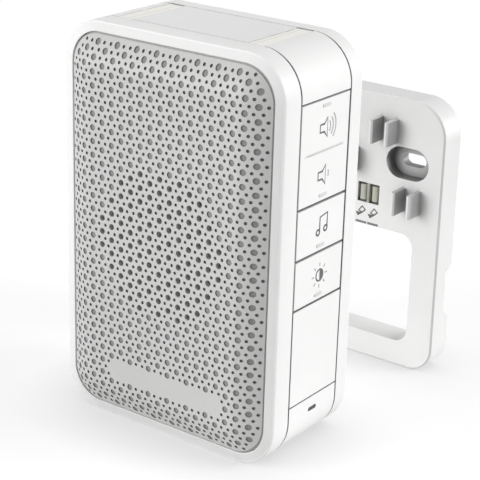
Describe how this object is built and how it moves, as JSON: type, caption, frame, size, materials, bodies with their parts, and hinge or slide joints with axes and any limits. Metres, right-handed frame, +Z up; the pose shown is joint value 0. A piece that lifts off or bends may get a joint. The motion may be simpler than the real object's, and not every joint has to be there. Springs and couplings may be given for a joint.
{
  "type": "doorbell chime",
  "caption": "Doorbell chime box with a perforated front grille, side buttons and light strips, with its wall bracket standing apart.",
  "frame": {"origin": "centre of the chime's flat base, on the surface it stands on", "axes": "+Z up, the grille faces -Y, the buttons are on the +X side, the wall bracket stands behind at +Y"},
  "size_m": [0.0846, 0.107, 0.13],
  "materials": {
    "shell_white": "fine satin moulded plastic",
    "grille_grey": "fine satin moulded plastic, light grey",
    "top_grey": "satin moulded plastic",
    "strip_cream": "milky translucent plastic, satin",
    "frame_grey": "plain moulded plastic",
    "cloth_black": "woven acoustic cloth",
    "foam_black": "closed cell foam",
    "basket_steel": "black painted pressed steel",
    "cone_black": "soft matt membrane",
    "magnet_plate": "plated steel",
    "pin_steel": "ground steel",
    "lens_smoke": "smoked gloss plastic",
    "led_white": "moulded resin",
    "board_green": "solder mask over glass fibre",
    "switch_black": "moulded plastic",
    "screw_steel": "zinc plated steel",
    "contact_brass": "gold flashed brass",
    "bracket_white": "fine satin moulded plastic",
    "terminal_dark": "moulded plastic",
    "tab_cream": "moulded nylon, cream"
  },
  "bodies": {
    "chime": {"front_bezel": "shell_white", "grille_panel": "grille_grey", "speaker_cloth": "cloth_black", "speaker_gasket": "foam_black", "speaker_basket": "basket_steel", "speaker_cone": "cone_black", "speaker_magnet": "magnet_plate", "mid_frame": "frame_grey", "top_panel": "top_grey", "light_strip_left": "strip_cream", "light_strip_right": "strip_cream", "top_corner_left": "shell_white", "top_corner_right": "shell_white", "left_side_panel": "shell_white", "lower_corner_left": "shell_white", "lower_corner_right": "shell_white", "bottom_panel": "shell_white", "blank_panel": "shell_white", "rocker_pin": "pin_steel", "status_lens": "lens_smoke", "status_led": "led_white", "switch_board": "board_green", "side_switches": "switch_black", "light_board": "board_green", "strip_leds": "led_white", "main_board": "board_green", "board_parts": "switch_black", "board_screws": "screw_steel", "contact_block": "switch_black", "contact_pins": "contact_brass", "rear_cover": "shell_white", "case_screws": "screw_steel"},
    "volume_rocker": {"volume_rocker": "shell_white"},
    "melody_button": {"melody_button": "shell_white"},
    "light_button": {"light_button": "shell_white"},
    "bracket": {"wall_bracket": "bracket_white", "terminal_block_left": "terminal_dark", "terminal_block_right": "terminal_dark"},
    "tab_1": {"release_tab_1": "tab_cream"},
    "tab_2": {"release_tab_2": "tab_cream"},
    "tab_3": {"release_tab_3": "tab_cream"},
    "tab_4": {"release_tab_4": "tab_cream"}
  },
  "joints": [
    {"name": "volume_rock", "type": "hinge", "parent": "chime", "child": "volume_rocker", "pos_m": [0.0352, 0.0009, 0.09885], "axis": [0, 1, 0], "range_deg": [-1.5, 1.5], "stiffness_Nm_per_rad": 0.9},
    {"name": "melody_press", "type": "slide", "parent": "chime", "child": "melody_button", "axis": [-1, 0, 0], "range_m": [0, 0.0005], "stiffness_N_per_m": 4000},
    {"name": "light_press", "type": "slide", "parent": "chime", "child": "light_button", "axis": [-1, 0, 0], "range_m": [0, 0.0005], "stiffness_N_per_m": 4000},
    {"name": "bracket_fit", "type": "slide", "parent": "chime", "child": "bracket", "axis": [-0.1061, -0.9887, 0.1061], "range_m": [0, 0.05654]},
    {"name": "tab_press_1", "type": "slide", "parent": "bracket", "child": "tab_1", "axis": [0, 1, 0], "range_m": [0, 0.0008], "stiffness_N_per_m": 2000},
    {"name": "tab_press_2", "type": "slide", "parent": "bracket", "child": "tab_2", "axis": [0, 1, 0], "range_m": [0, 0.0008], "stiffness_N_per_m": 2000},
    {"name": "tab_press_3", "type": "slide", "parent": "bracket", "child": "tab_3", "axis": [0, 1, 0], "range_m": [0, 0.0008], "stiffness_N_per_m": 2000},
    {"name": "tab_press_4", "type": "slide", "parent": "bracket", "child": "tab_4", "axis": [0, 1, 0], "range_m": [0, 0.0008], "stiffness_N_per_m": 2000}
  ]
}
